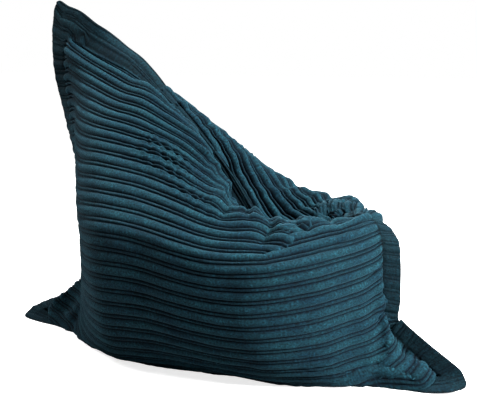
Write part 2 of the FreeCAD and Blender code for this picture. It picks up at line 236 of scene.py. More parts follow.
# ---- under the bag
ZIP_SIDE = 0.018  # from the seam plane to the border's stitches beside the zip
ZIP_REACH = 0.17  # how far up the cut the cloth is laid flat there
ZIP_END = 0.448  # half the length of the zip's opening
ZIP_TAPER = 0.012
UNDER_END = 0.62  # half the length of the stretch that is laid flat
UNDER_TAPER = 0.12
UNDER_FADE = 0.06
# Height of the laid cloth by place up the cut: the border is folded under the panel.
UNDER_RISE = [(0, 0.0028), (FLANGE - 0.004, 0.0028), (FLANGE, 0.0055), (FLANGE + 0.004, 0.0085),
              (0.14, 0.0085), (ZIP_REACH, 0.004)]

# ---- inner bag and beads
INNER_MARGIN = FLANGE + 0.045  # from the cover's cut edge to the inner bag's
INNER_CORNER = STITCH_CORNER - 0.02
INNER_COLUMNS = 109
INNER_ROWS = 82
CALMING = 6  # passes that ease the cover's folds out
WIDENING_SLACK = 3  # grid steps that slack spreads
SINKING = 6  # passes that take it in under the cover
SINK_STEP = 0.03
PLANE_GAP = 0.001  # least distance of either side from the seam plane
RING_STEPS = 3  # grid steps from its edge to where its own seam is drawn
LINER_INSET = 0.009
LINER_FLOOR = 0.0145
BEAD_INSET = 0.014
BEAD_FLOOR = 0.0175

# ---- studio
LENS = 67.06
CAMERA_PLACE = (1.552, -2.690, 1.055)
CAMERA_DOWN = 9.24
CAMERA_ROUND = 28.8
# Each lamp: name, place, what it is aimed at, diameter, watts.
LAMPS = [("key", (3.5, -0.75, 2.1), (0.1, 0, 0.5), 1.0, 430),
         ("top", (0.5, 0.0, 4.2), (0, 0, 0.5), 1.2, 250),
         ("back", (-2.0, 3.2, 2.6), (-0.1, 0.1, 0.5), 2.0, 120),
         ("left", (-3.4, -0.6, 2.6), (-0.3, 0, 0.6), 1.4, 95)]
SKY = 0.05  # strength of the world's light on the object
FLOOR_SIZE = 40
FLOOR_LIT = 0.30  # the floor's colour as the object sees it
FLOOR_SHOWN = 0.80  # and as the camera does, with a glow that turns it white further out
GLOW = {"From Min": 1.2, "From Max": 2.8, "To Min": 0.78, "To Max": 1.0}


def smooth(t):
    """Rises from 0 to 1 as t does, and is level at both ends."""
    t = np.clip(t, 0, 1)
    return t * t * (3 - 2 * t)


def after(x, start, run):
    """0 up to the start, and 1 from a run beyond it."""
    return smooth((x - start) / run)


def before(x, end, run):
    """1 up to a run before the end, and 0 from there on."""
    return smooth((end - x) / run)


def curve(rows, key):
    """Smooth values at the keys, through rows of (key, value, value, ...)."""
    rows = np.array(rows)
    knots = rows[:, 0]
    i = np.clip(np.searchsorted(knots, key) - 1, 0, len(knots) - 2)
    step = knots[i + 1] - knots[i]
    s = np.clip((key - knots[i]) / step, 0, 1)
    out = []
    for values in rows[:, 1:].T:
        slope = np.gradient(values, knots)
        out.append((2 * s**3 - 3 * s**2 + 1) * values[i] + (s**3 - 2 * s**2 + s) * step * slope[i]
                   + (3 * s**2 - 2 * s**3) * values[i + 1] + (s**3 - s**2) * step * slope[i + 1])
    return np.stack(out, -1)


def corner_offsets(a, b, margin, radius):
    """How far out a place lies from the middle of its corner's arc, along and up the cut."""
    reach = radius + margin
    return reach - np.minimum(a, LENGTH - a), reach - np.minimum(b, HEIGHT - b)


def rounded_depth(a, b, margin, radius):
    """Distance in from a rectangle in the cut that turns each corner in an arc."""
    p, q = corner_offsets(a, b, margin, radius)
    arc = np.hypot(np.maximum(p, 0), np.maximum(q, 0))
    return radius - arc - np.minimum(np.maximum(p, q), 0)


def from_stitch(a, b):
    """Distance in from the stitched line; less than 0 on the border."""
    return rounded_depth(a, b, FLANGE, STITCH_CORNER)


# ---- grids of points
def weights(t):
    """Catmull-Rom weights of the four places round a fraction of a step."""
    return np.stack([((-0.5 * t + 1) * t - 0.5) * t, ((1.5 * t - 2.5) * t) * t + 1,
                     ((-1.5 * t + 2) * t + 0.5) * t, ((0.5 * t - 0.5) * t) * t], -1)


def extended(points):
    """Points with one more at either end, straight on."""
    first = 2 * points[:1] - points[1:2]
    last = 2 * points[-1:] - points[-2:-1]
    return np.concatenate([first, points, last])


def resample_axis(points, at, axis):
    points = np.moveaxis(points, axis, 0)
    i = np.clip(np.floor(at).astype(int), 0, len(points) - 2)
    w = weights(at - i)
    padded = extended(points)
    shape = (-1,) + (1,) * (points.ndim - 1)
    total = sum(w[:, k].reshape(shape) * padded[i + k] for k in range(4))
    return np.moveaxis(total, 0, axis)


def resample(points, up, along):
    """Values of both panels' grids at fractional rows and columns."""
    return resample_axis(resample_axis(points, up, 1), along, 2)


def resample_up(points, at):
    """Values up each column of a grid, at that column's own fractional rows."""
    i = np.clip(np.floor(at).astype(int), 0, len(points) - 2)
    w = weights(at - i)
    padded = extended(points)
    column = np.arange(at.shape[1])[None]
    return sum(w[..., k, None] * padded[i + k, column] for k in range(4))


class Cloth:
    """Two panels of one grid: points[panel, up, along] and their speeds."""

    def __init__(self, spacing):
        self.columns = int(round(LENGTH / spacing)) + 1
        self.rows = int(round(HEIGHT / spacing)) + 1
        self.step_a = LENGTH / (self.columns - 1)
        self.step_b = HEIGHT / (self.rows - 1)
        a = np.linspace(0, LENGTH, self.columns)
        b = np.linspace(0, HEIGHT, self.rows)
        self.a, self.b = np.meshgrid(a, b)
        self.inside = from_stitch(self.a, self.b)
        self.flange = self.inside <= 1e-6
        self.share = np.interp(b, *np.transpose(GATHERED))[:, None, None]
        self.points = np.zeros((2, self.rows, self.columns, 3))
        self.speeds = np.zeros_like(self.points)

    def lay_flat(self):
        puff = FIRST_PUFF * np.sqrt(np.clip(self.inside / PUFF_RUN, 0, 1))
        self.points[..., 0] = self.a - LENGTH / 2
        self.points[..., 2] = self.b
        self.points[0, ..., 1] = -puff
        self.points[1, ..., 1] = puff
        self.points += np.random.default_rng(SEED).normal(0, JITTER, self.points.shape)
        self.sew()

    def sew(self):
        middle = self.points[:, self.flange].mean(0)
        self.points[:, self.flange] = middle

    def finer(self, spacing):
        """The same cloth at rest on a finer grid."""
        fine = Cloth(spacing)
        up = np.linspace(0, self.rows - 1, fine.rows)
        along = np.linspace(0, self.columns - 1, fine.columns)
        fine.points = resample(self.points, up, along)
        fine.sew()
        return fine

    def part_way(self, mask, place, share):
        """From where the masked points lie in the flat cut, a share of the way to a place."""
        flat = np.stack([self.a[mask] - LENGTH / 2, 0 * self.a[mask], self.b[mask]], -1)
        return flat + (place - flat) * share


def link(p, q, length, stretch, squeeze):
    """Moves the ends of many links to their length: full length kept in tension, part in push."""
    d = q - p
    size = np.sqrt((d * d).sum(-1, keepdims=True)) + 1e-12
    error = (size - length) / size
    d *= np.where(error > 0, stretch, squeeze) * 0.5 * error
    p += d
    q -= d


def hold_weave(cloth):
    """Keeps the threads at their length both ways, and the weave somewhat square."""
    points = cloth.points
    rows, columns = points.shape[1:3]
    for o in (0, 1):
        near, far = points[:, :, o:columns - 1:2], points[:, :, o + 1:columns:2]
        link(near, far, cloth.step_a * cloth.share, 1, SQUEEZE)
    for o in (0, 1):
        link(points[:, o:rows - 1:2], points[:, o + 1:rows:2], cloth.step_b, 1, SQUEEZE)
    across = np.hypot(cloth.step_a, cloth.step_b)
    for o in (0, 1):
        low, high = points[:, o:rows - 1:2], points[:, o + 1:rows:2]
        link(low[:, :, :-1], high[:, :, 1:], across, SHEAR, SHEAR)
        link(low[:, :, 1:], high[:, :, :-1], across, SHEAR, SHEAR)


def hold_flat(cloth):
    """Keeps points a few steps apart from folding together."""
    points, reach = cloth.points, FOLD_REACH
    rows, columns = points.shape[1:3]
    for first in range(2 * reach):
        p = points[:, :, first:columns - reach:2 * reach]
        q = points[:, :, first + reach:columns:2 * reach]
        link(p, q, reach * cloth.step_a, 0, STIFF_ALONG)
        p = points[:, first:rows - reach:2 * reach]
        q = points[:, first + reach:rows:2 * reach]
        link(p, q, reach * cloth.step_b, 0, STIFF_UP)


def area_vectors(points):
    """Outward vectors as long as each point's share of its panel's area."""
    along = np.gradient(points, axis=2)
    up = np.gradient(points, axis=1)
    normal = np.cross(along, up)
    normal[1] *= -1
    return normal


# ---- the beads' shape
def outline(row):
    """One station's outline, as a fine polygon in y and z."""
    foot, by, bz, sy, sz, uy, uz, cy, cz, iy, iz, floor = row
    by, sy, uy = TRIM[0] * by, TRIM[1] * sy, TRIM[2] * uy
    flare = [(foot + out * (by - foot), up * bz) for out, up in FLARE]
    knots = np.array([(foot, 0.0)] + flare
                     + [(by, bz), (sy, sz), (uy, uz), (cy, cz), (iy, iz), (0, floor)])
    at = np.linspace(0, len(knots) - 1, OUTLINE_STEPS * (len(knots) - 1) + 1)
    line = resample_axis(knots, at, 0)
    line[:, 0] = np.clip(line[:, 0], 0, None)
    return line


def distance_slice(line, y, z):
    """Signed distance to one station's outline: negative among the beads."""
    y, z = np.meshgrid(y, z, indexing="ij")
    best = np.full(y.shape, 9.0)
    crossings = np.zeros(y.shape, int)
    for (y0, z0), (y1, z1) in zip(line[:-1], line[1:]):
        ey, ez = y1 - y0, z1 - z0
        size = ey * ey + ez * ez + 1e-12
        t = np.clip(((y - y0) * ey + (z - z0) * ez) / size, 0, 1)
        best = np.minimum(best, np.hypot(y - y0 - t * ey, z - z0 - t * ez))
        between = (z0 <= z) != (z1 <= z)
        where = y0 + (z - z0) * ey / (ez if ez else 1e-9)
        crossings += between & (where > y)
    inside = (crossings % 2 == 1) | (z <= 0) & (y < line[0, 0])
    return np.where(inside, -best, best)


class Room:
    """Signed distance from the beads' shape, on a grid in x, |y| and z."""

    def __init__(self):
        x, y, z = [ROOM_LOW[k] + CELL * np.arange(ROOM_SHAPE[k]) for k in range(3)]
        rows = curve(ROOM, np.clip(x, ROOM[0][0], ROOM[-1][0]))
        field = np.stack([distance_slice(outline(row), np.abs(y), z) for row in rows])
        slope = np.stack(np.gradient(field, CELL), -1)
        self.field = np.concatenate([field[..., None], slope], -1).reshape(-1, 4)

    def look(self, points):
        """Distance and slope at each point, between the eight grid places round it."""
        at = points.copy()
        at[:, 1] = np.abs(at[:, 1])
        at = (at - np.array(ROOM_LOW)) / CELL
        cell = np.clip(np.floor(at).astype(int), 0, np.array(ROOM_SHAPE) - 2)
        part = np.clip(at - cell, 0, 1)
        first = (cell[:, 0] * ROOM_SHAPE[1] + cell[:, 1]) * ROOM_SHAPE[2] + cell[:, 2]
        parts = (1 - part, part)
        total = 0
        for dx, dy, dz in np.ndindex(2, 2, 2):
            share = parts[dx][:, 0] * parts[dy][:, 1] * parts[dz][:, 2]
            at_corner = first + (dx * ROOM_SHAPE[1] + dy) * ROOM_SHAPE[2] + dz
            total = total + share[:, None] * self.field[at_corner]
        return total

    def surface(self, points):
        """Each point's distance, its slope on its own side, and the slope's squared size."""
        found = self.look(points)
        slope = found[:, 1:]
        slope[:, 1] *= np.sign(points[:, 1])
        return found[:, 0], slope, (slope * slope).sum(-1) + SLOPE_FLOOR

    def keep(self, points, share, pull):
        """Moves points outside back to the surface, and draws near ones out to it."""
        far, slope, size = self.surface(points)
        back = share * np.minimum(far, ROOM_REACH)
        amount = np.where(far > 0, back, pull * np.clip(far, -ROOM_REACH, 0))
        amount[far < -ROOM_REACH] = 0
        points -= slope * (amount / size)[:, None]

    def sink(self, points, depth):
        """Moves points that are less than their depth below the surface further in."""
        far, slope, size = self.surface(points)
        points -= slope * (np.clip(far + depth, 0, SINK_STEP) / size)[:, None]


# ---- settling the bag
def held_edges(cloth, share):
    """The four seams and their borders, part of the way to their places."""
    column, row = np.meshgrid(np.arange(cloth.columns), np.arange(cloth.rows))
    seam_column = int(round(FLANGE / cloth.step_a))
    seam_row = int(round(FLANGE / cloth.step_b))
    from_front = cloth.columns - 1 - column
    from_top = cloth.rows - 1 - row
    up = (row >= seam_row) & (from_top >= seam_row)
    along = (column >= seam_column) & (from_front >= seam_column)
    edges = [(cloth.b, column, seam_column, up, cloth.a, BACK_SEAM, BACK_BORDER),
             (cloth.b, from_front, seam_column, up, LENGTH - cloth.a, FRONT_SEAM, FRONT_BORDER),
             (cloth.a, row, seam_row, along, cloth.b, BOTTOM_SEAM, BOTTOM_BORDER),
             (cloth.a, from_top, seam_row, along, HEIGHT - cloth.b, TOP_SEAM, TOP_BORDER)]
    held = []
    for key, steps, seam_steps, stretch, depth, seam, border in edges:
        for mask, hold in (((steps == seam_steps) & stretch, SEAM_HOLD),
                           ((steps < seam_steps) & stretch, BORDER_HOLD)):
            place = curve(seam, key[mask])
            place = np.stack([place[:, 0], 0 * place[:, 0], place[:, 1]], -1)
            lean = curve(border, key[mask])
            lean /= np.linalg.norm(lean, axis=-1, keepdims=True)
            place += lean * (FLANGE - depth[mask])[:, None]
            held.append((mask, cloth.part_way(mask, place, share), hold))
    return held


def held_corners(cloth, share):
    """The border's free corners, part of the way to their places."""
    ends = {(0, 0): (BACK_SEAM[0], BACK_BORDER[0], BOTTOM_BORDER[0]),
            (1, 0): (FRONT_SEAM[0], FRONT_BORDER[0], BOTTOM_BORDER[-1]),
            (0, 1): (BACK_SEAM[-1], BACK_BORDER[-1], TOP_BORDER[0])}
    held = []
    for front, top, x, y, z in CORNERS:
        seam, along_lean, up_lean = ends[front, top]
        p = (FLANGE - (LENGTH - cloth.a if front else cloth.a)) / FLANGE
        q = (FLANGE - (HEIGHT - cloth.b if top else cloth.b)) / FLANGE
        mask = (p > -1e-6) & (q > -1e-6)
        p = p[mask][:, None]
        q = q[mask][:, None]
        start = np.array([seam[1], 0, seam[2]])
        side = FLANGE * np.array(along_lean[1:]) / np.linalg.norm(along_lean[1:])
        rise = FLANGE * np.array(up_lean[1:]) / np.linalg.norm(up_lean[1:])
        rest = np.array([x, y, z]) - start - side - rise
        place = start + p * side + q * rise + p * q * rest
        held.append((mask, cloth.part_way(mask, place, share), CORNER_HOLD))
    return held


def bead_push(points, moment):
    """The beads' push on the cloth: while the bag fills, and more under more beads."""
    push = PRESSURE * (1 - PRESSURE_DROP * after(moment, *EASING_OFF))
    weight = BEAD_DENSITY * EARTH * np.clip(BEAD_TOP - points[..., 2:3], 0, None)
    return after(moment, *FILLING) * (push + weight)


def move_freely(cloth, moment, mass, gravity, top_speed):
    """One frame of the cloth's own motion, before it is held to anything."""
    points, speeds = cloth.points, cloth.speeds
    normal = area_vectors(points)
    pull = bead_push(points, moment) * normal / (mass * cloth.step_a * cloth.step_b)
    pull[:, cloth.flange] = 0
    pull[..., 2] -= gravity
    speeds += TICK * pull
    speeds *= AIR_DRAG
    fast = np.sqrt((speeds * speeds).sum(-1, keepdims=True))
    speeds *= np.minimum(1, top_speed / (fast + 1e-9))
    points += TICK * speeds


def keep_apart(points, inner, wide):
    """Keeps the cloth over the ground, in front of its back and on its own side."""
    np.maximum(points[..., 2], 0, out=points[..., 2])
    np.clip(points[..., 1], -wide, wide, out=points[..., 1])
    limit = np.interp(points[:, inner, 2], *np.transpose(BACK_LIMIT))
    points[:, inner, 0] = np.maximum(points[:, inner, 0], limit)
    points[0, inner, 1] = np.minimum(points[0, inner, 1], 0)
    points[1, inner, 1] = np.maximum(points[1, inner, 1], 0)


def settle(cloth, room, frames, rounds, mass, gravity, top_speed):
    """Lets beads, sewing and the ground shape the cloth."""
    points, speeds = cloth.points, cloth.speeds
    inner = ~cloth.flange
    for moment in frames:
        share = after(moment, *HELD)
        held = held_edges(cloth, share) + held_corners(cloth, share)
        in_room = after(moment, *ROOMING)
        wide = NARROW + WIDENED * after(moment, *WIDENING)
        old = points.copy()
        move_freely(cloth, moment, mass, gravity, top_speed)
        for turn in range(rounds):
            hold_weave(cloth)
            if turn % 2 == 0:
                hold_flat(cloth)
            cloth.sew()
            for mask, place, hold in held:
                points[:, mask] += hold * (place - points[:, mask])
            if in_room > 0 and turn % 2:
                free = points[:, inner]
                flat = free.reshape(-1, 3).copy()
                room.keep(flat, PUSH_BACK * in_room, DRAW_OUT * in_room)
                points[:, inner] = flat.reshape(free.shape)
            keep_apart(points, inner, wide)
        speeds[:] = (points - old) / TICK
        speeds[points[..., 2] < GROUND_TOUCH] *= GROUND_DRAG


def settled_cloth(room):
    cloth = Cloth(COARSE_GRID)
    cloth.lay_flat()
    settle(cloth, room, **COARSE)
    cloth = cloth.finer(FINE_GRID)
    settle(cloth, room, **FINE)
    return cloth


# ---- relief of the corduroy
def rib_rows():
    """Places up the cut that catch each rib's crown, flanks and groove."""
    periods = int(HEIGHT / RIB_PERIOD) + 1
    places = [k * RIB_PERIOD + row[0] for k in range(periods) for row in RIB_PROFILE]
    return np.array([place for place in places if 0 < place < HEIGHT])


def rib_height(b):
    ends = RIB_PROFILE + [(RIB_PERIOD, RIB_PROFILE[0][1])]
    return np.interp(np.mod(b, RIB_PERIOD), *np.transpose(ends))


def merge(regular, special, gap):
    """Special places, with the regular ones that aren't too near them."""
    special = np.array(sorted(special))
    away = np.abs(regular[:, None] - special[None]).min(1) > gap
    return np.sort(np.concatenate([regular[away], special]))


def edge_places(size):
    """Distances across the cut that catch its folded edge and its stitched line."""
    near = EDGE_LINES + [FLANGE + line for line in STITCH_LINES]
    return near + [size - n for n in near]


def noise(x, y, seed, scale_x, scale_y):
    """Smooth noise about zero, with features about one scale across."""
    table = np.random.default_rng(seed).normal(0, 1, (NOISE_CELLS, NOISE_CELLS))
    u = x / scale_x + NOISE_CELLS
    v = y / scale_y + NOISE_CELLS
    i = np.floor(u).astype(int)
    j = np.floor(v).astype(int)
    s = smooth(u - i)
    t = smooth(v - j)

    def corner(di, dj):
        return table[(i + di) % NOISE_CELLS, (j + dj) % NOISE_CELLS]

    low = corner(0, 0) * (1 - s) + corner(1, 0) * s
    high = corner(0, 1) * (1 - s) + corner(1, 1) * s
    return low * (1 - t) + high * t


def normals_of(points, side):
    normal = np.cross(np.gradient(points, axis=1), np.gradient(points, axis=0))
    normal /= np.linalg.norm(normal, axis=-1, keepdims=True) + 1e-12
    return normal * (1 if side < 0 else -1)


def laid_under(points, b, side):
    """Under the bag each panel's border lies flat on its own side of the zip, folded under."""
    from_middle = np.abs(points[..., 0])
    share = before(from_middle, UNDER_END, UNDER_TAPER)
    share = share * before(b, ZIP_REACH + UNDER_FADE, UNDER_FADE)
    gap = ZIP_SIDE * before(from_middle, ZIP_END, ZIP_TAPER)
    across = np.abs(b - FLANGE) + gap
    rise = np.interp(b, *np.transpose(UNDER_RISE))
    laid = np.stack([points[..., 0], side * across, rise], -1)
    return points + (laid - points) * share[..., None]


def rounded_corners(points, a, b, margin, radius):
    """Draws a grid's square corners in on to arcs."""
    p, q = corner_offsets(a, b, margin, radius)
    beyond = (p > 0) & (q > 0) & (np.hypot(p, q) > radius)
    back = np.where(beyond, 1 - radius / np.maximum(np.hypot(p, q), 1e-9), 0)
    shift_a = back * p * np.where(a < LENGTH / 2, 1, -1)
    shift_b = back * q * np.where(b < HEIGHT / 2, 1, -1)
    per_a = np.gradient(points, axis=1) / np.gradient(a, axis=1)[..., None]
    per_b = np.gradient(points, axis=0) / np.gradient(b, axis=0)[..., None]
    moved = points + shift_a[..., None] * per_a + shift_b[..., None] * per_b
    return moved, a + shift_a, b + shift_b


def past_crest(a, b):
    """How far up the cut a place lies beyond the arm's crest, towards the seat."""
    return b - curve(CREST, a)[..., 0]


def at_seat_front(a, over):
    """1 where the bunched cloth of the seat's front edge lies."""
    return after(a, 1.26, 0.06) * after(over, 0, 0.05)


def gathers(a, b, side):
    """How far the cloth stands out in puffs, folds and puckers, and how deep its ribs bunch."""
    over = past_crest(a, b)
    along = after(a, 0.96, 0.10) * before(a, 1.66, 0.08)
    puff = np.abs(np.sin(np.pi * curve(PUFFS, a)[..., 0])) ** 0.7 - 0.55
    lift = PUFF_HEIGHT * puff * along * np.exp(-((over + 0.015) / 0.045) ** 2)

    inside = after(over, -0.02, 0.07) * after(a, 0.38, 0.14)
    warp = a + 0.25 * over + 0.012 * noise(a, b, 21 + side, 0.10, 0.08)
    fold = noise(warp, 0.2 * b, 31 + side, 0.030, 0.10)
    fold = fold + 0.6 * noise(warp, 0.2 * b, 33 + side, 0.055, 0.10)
    lift = lift + FOLD_HEIGHT * fold * inside
    bunch = noise(0.15 * a, b, 41 + side, 0.06, 0.028)
    lift = lift + BUNCH_HEIGHT * bunch * inside

    deep = 1 + SEAT_DEEPER * inside + ARM_DEEPER * after(over, -0.42, 0.32) * (1 - inside)
    return lift, deep - KNOBS_SHALLOWER * at_seat_front(a, over)


def lumps(a, b, rib_place):
    """Bunched ribs, pinched along their length into rows of small lumps."""
    phase = np.mod(rib_place, RIB_PERIOD)
    third = np.floor(phase / LUMP_STEP)
    row = 3 * np.floor(rib_place / RIB_PERIOD) + third
    width = np.where(third > 1, LUMP_LAST, LUMP_STEP)
    across = np.sin(np.pi * (phase - LUMP_STEP * third) / width) ** 0.7
    shift = ROW_SHIFT * row + 0.35 * noise(a, b, 53, 0.06, 0.03)
    wrinkle = across * np.abs(np.sin(np.pi * (a / WRINKLE_PERIOD + shift)))
    knob = across * np.abs(np.sin(np.pi * (a / KNOB_PERIOD + shift)))
    lift = KNOB_HEIGHT * at_seat_front(a, past_crest(a, b)) * knob
    for place_a, place_b, reach_a, reach_b, height in WRINKLES:
        near = np.exp(-((a - place_a) / reach_a) ** 4 - ((b - place_b) / reach_b) ** 4)
        lift = lift + height * near * wrinkle
    return lift


# ---- cover panels
def bare_panel(cloth, side):
    """One cover panel without its relief: points, and places along and up the cut and ribs."""
    columns = np.linspace(0, LENGTH, int(LENGTH / COLUMN_STEP) + 1)
    along = merge(columns, edge_places(LENGTH), COLUMN_GAP)
    up = merge(rib_rows(), edge_places(HEIGHT), ROW_GAP)
    a, rib_place = np.meshgrid(along, up)
    ride = after(rib_place, *SLIDE_LOW) * before(rib_place, *SLIDE_HIGH)
    b = rib_place + (side < 0) * ride * curve(SLIDE, a)[..., 0]
    panel = cloth.points[0 if side < 0 else 1]
    points = resample_axis(panel, along / cloth.step_a, 1)
    points = resample_up(points, b / cloth.step_b)
    points, a, b = rounded_corners(points, a, b, 0.0, CUT_CORNER)
    return laid_under(points, b, side), a, b, rib_place


def cover_panel(cloth, side, name):
    points, a, b, rib_place = bare_panel(cloth, side)
    depth = from_stitch(a, b)
    border = depth < 0
    away = np.abs(depth)
    sewn_down = smooth(away / np.where(border, *STITCH_SPREAD))
    from_edge = rounded_depth(a, b, 0.0, CUT_CORNER)
    rim = np.sqrt(1 - (1 - np.clip(from_edge / RIM, 0, 1)) ** 2)
    height = rib_height(rib_place)
    rib = height * (0.25 + 0.75 * sewn_down) * rim * np.where(border, BORDER_RIB, 1)
    puff = np.where(border, BORDER_WALL, PILE) * (0.15 + 0.85 * sewn_down ** 0.6) * rim
    broad, small = UNEVEN
    uneven = broad * noise(a, b, 5, 0.09, 0.03) + small * noise(a, b, 6, 0.02, 0.012)
    gather, deep = gathers(a, b, side)
    deep = deep + BACK_DEEPER * before(a, 0.14, 0.06)
    gather = (gather + lumps(a, b, rib_place)) * (1 - border)
    lift = puff + rib * deep + (uneven + gather) * sewn_down * rim
    shown = points + normals_of(points, side) * lift[..., None]
    shown[..., 2] = np.maximum(shown[..., 2], LEAST_HEIGHT)
    # How deep in a groove a place lies, more where the ribs bunch: it drives painted shade in the
    # grooves (partly the darker bare backing cloth there) and a painted highlight on the crowns.
    hollow = (RIB_CROWN - height) / RIB_DEPTH
    groove = np.clip(hollow * (0.7 + 0.3 * deep), 0, 1) * np.where(border, 0.5, 1)
    # The mark along the stitched line, fading out within STITCH_SHADE either side, is a painted
    # shadow where the puffed rib ends meet the border.
    marks = {"groove": groove, "seam_shadow": 1 - smooth(away / STITCH_SHADE), "border": 1.0 * border}
    # The border mark carries a painted shade over the whole border.
    return grid_mesh(name, [(shown, a, rib_place, side)], marks)


def grid_mesh(name, grids, marks=None):
    """One mesh from grids of points, each with its places in the cut and its side."""
    mesh = bpy.data.meshes.new(name)
    quads = []
    first = 0
    for points, a, b, side in grids:
        rows, columns = a.shape
        low = first + np.arange(rows - 1)[:, None] * columns + np.arange(columns - 1)[None]
        quad = np.stack([low, low + 1, low + columns + 1, low + columns], -1)
        quads.append((quad[..., ::-1] if side > 0 else quad).reshape(-1, 4))
        first += rows * columns
    quads = np.concatenate(quads)
    points = np.concatenate([grid[0].reshape(-1, 3) for grid in grids])
    places = np.stack([np.concatenate([grid[k].reshape(-1) for grid in grids]) for k in (1, 2)], -1)
    corners = quads.reshape(-1)
    mesh.vertices.add(len(points))
    mesh.vertices.foreach_set("co", points.reshape(-1).astype(np.float32))
    mesh.loops.add(len(corners))
    mesh.loops.foreach_set("vertex_index", corners.astype(np.int32))
    mesh.polygons.add(len(quads))
    mesh.polygons.foreach_set("loop_start", np.arange(0, len(corners), 4, dtype=np.int32))
    mesh.update(calc_edges=True)
    mesh.polygons.foreach_set("use_smooth", np.ones(len(quads), bool))
    layer = mesh.uv_layers.new(name="cut")
    layer.data.foreach_set("uv", places[corners].reshape(-1).astype(np.float32))
    for mark, values in (marks or {}).items():
        layer = mesh.attributes.new(mark, "FLOAT", "POINT")
        layer.data.foreach_set("value", values.reshape(-1).astype(np.float32))
    piece = bpy.data.objects.new(name, mesh)
    bpy.context.scene.collection.objects.link(piece)
    return piece


# ---- inner bag and beads
def calmed(points):
    """The cover's points, with its folds eased out."""
    calm = points.copy()
    for turn in range(CALMING):
        calm[:, 1:-1, 1:-1] = 0.5 * calm[:, 1:-1, 1:-1] + 0.125 * (
            calm[:, 2:, 1:-1] + calm[:, :-2, 1:-1] + calm[:, 1:-1, 2:] + calm[:, 1:-1, :-2])
    return calm


def slack_under(a, b, side):
    """How much further in an inner bag stays where the cover folds, bunches or creases."""
    gather, deep = gathers(a, b, side)
    near_seat = after(past_crest(a, b), -0.15, 0.08)
    slack = np.maximum(-gather, 0) + 0.006 * (deep - 1) + 0.02 * near_seat
    from_ends = np.minimum(a, LENGTH - a)
    crease = np.exp(-((from_ends - 0.09) / 0.12) ** 2 - ((b - 0.28) / 0.15) ** 2)
    slack = slack + 0.034 * crease
    for turn in range(WIDENING_SLACK):
        slack = np.pad(slack, 1, mode="edge")
        slack = np.maximum.reduce([slack[1:-1, 1:-1], slack[2:, 1:-1], slack[:-2, 1:-1],
                                   slack[1:-1, 2:], slack[1:-1, :-2]])
    return slack + 0.006 * (slack > 0.002)


def on_its_side(y, side):
    return side * np.maximum(side * y, PLANE_GAP)


def inner_grids(cloth, room, inset, floor):
    """Both sides of a bag that lies inside the cover, meeting in the middle."""
    along = np.linspace(INNER_MARGIN, LENGTH - INNER_MARGIN, INNER_COLUMNS)
    up = np.linspace(INNER_MARGIN, HEIGHT - INNER_MARGIN, INNER_ROWS)
    both = calmed(resample(cloth.points, up / cloth.step_b, along / cloth.step_a))
    a, b = np.meshgrid(along, up)
    sides = []
    for points, side in zip(both, (-1, 1)):
        depth = inset + slack_under(a, b, side)
        moved = points - depth[..., None] * normals_of(points, side)
        moved = rounded_corners(moved, a, b, INNER_MARGIN, INNER_CORNER)[0]
        flat = moved.reshape(-1, 3)
        for turn in range(SINKING):
            room.sink(flat, depth.reshape(-1))
            flat[:, 1] = on_its_side(flat[:, 1], side)
        moved = flat.reshape(moved.shape)
        moved[..., 2] = np.maximum(moved[..., 2], floor)
        sides.append(moved)
    middle = np.mean(sides, 0)
    middle[..., 1] = 0
    drawn_in = middle[RING_STEPS:-RING_STEPS, RING_STEPS:-RING_STEPS]
    around = (RING_STEPS + 1, RING_STEPS + 1)
    ring = np.pad(drawn_in, (around, around, (0, 0)), mode="edge")
    a = np.pad(a, 1, mode="edge")
    b = np.pad(b, 1, mode="edge")
    grids = []
    for moved, side in zip(sides, (-1, 1)):
        whole = ring.copy()
        whole[1:-1, 1:-1] = moved
        grids.append((whole, a, b, side))
    return grids


def closed(piece):
    """Joins points that lie in one place."""
    mesh = bmesh.new()
    mesh.from_mesh(piece.data)
    bmesh.ops.remove_doubles(mesh, verts=mesh.verts, dist=1e-5)
    mesh.to_mesh(piece.data)
    mesh.free()


# ---- materials
def new_material(name, color, roughness, sheen, specular):
    material = bpy.data.materials.new(name)
    material.use_nodes = True
    shader = material.node_tree.nodes["Principled BSDF"]
    shader.inputs["Base Color"].default_value = (*color, 1)
    shader.inputs["Roughness"].default_value = roughness
    shader.inputs["Sheen Weight"].default_value = sheen
    shader.inputs["Sheen Roughness"].default_value = 0.45
    shader.inputs["Specular IOR Level"].default_value = specular
    return material, material.node_tree, shader


def add(tree, kind, **settings):
    """A new node: each setting is a link to a socket, a socket's value or the node's own."""
    node = tree.nodes.new(kind)
    for key, value in settings.items():
        if isinstance(value, bpy.types.NodeSocket):
            tree.links.new(value, node.inputs[key])
        elif key in node.inputs:
            node.inputs[key].default_value = value
        else:
            setattr(node, key, value)
    return node


def cut_noise(tree, scale, detail):
    """Noise over the cut, with its own scale along and up the cloth."""
    place = add(tree, "ShaderNodeUVMap", uv_map="cut").outputs["UV"]
    scaled = add(tree, "ShaderNodeMapping", Vector=place, Scale=scale).outputs["Vector"]
    texture = add(tree, "ShaderNodeTexNoise", Vector=scaled, Scale=1.0, Detail=detail)
    return texture.outputs["Fac"]


def ramp(tree, factor, stops):
    node = add(tree, "ShaderNodeValToRGB", Fac=factor)
    while len(node.color_ramp.elements) < len(stops):
        node.color_ramp.elements.new(0.5)
    for element, (position, color) in zip(node.color_ramp.elements, stops):
        element.position = position
        element.color = (*color, 1)
    return node.outputs["Color"]


def grey(level):
    return (level, level, level)


def times(tree, one, two):
    node = add(tree, "ShaderNodeMix", data_type="RGBA", blend_type="MULTIPLY")
    node.inputs[0].default_value = 1.0
    tree.links.new(one, node.inputs[6])
    tree.links.new(two, node.inputs[7])
    return node.outputs[2]


def joined(tree, operation, one, two):
    node = add(tree, "ShaderNodeMath", operation=operation)
    tree.links.new(one, node.inputs[0])
    tree.links.new(two, node.inputs[1])
    return node.outputs[0]


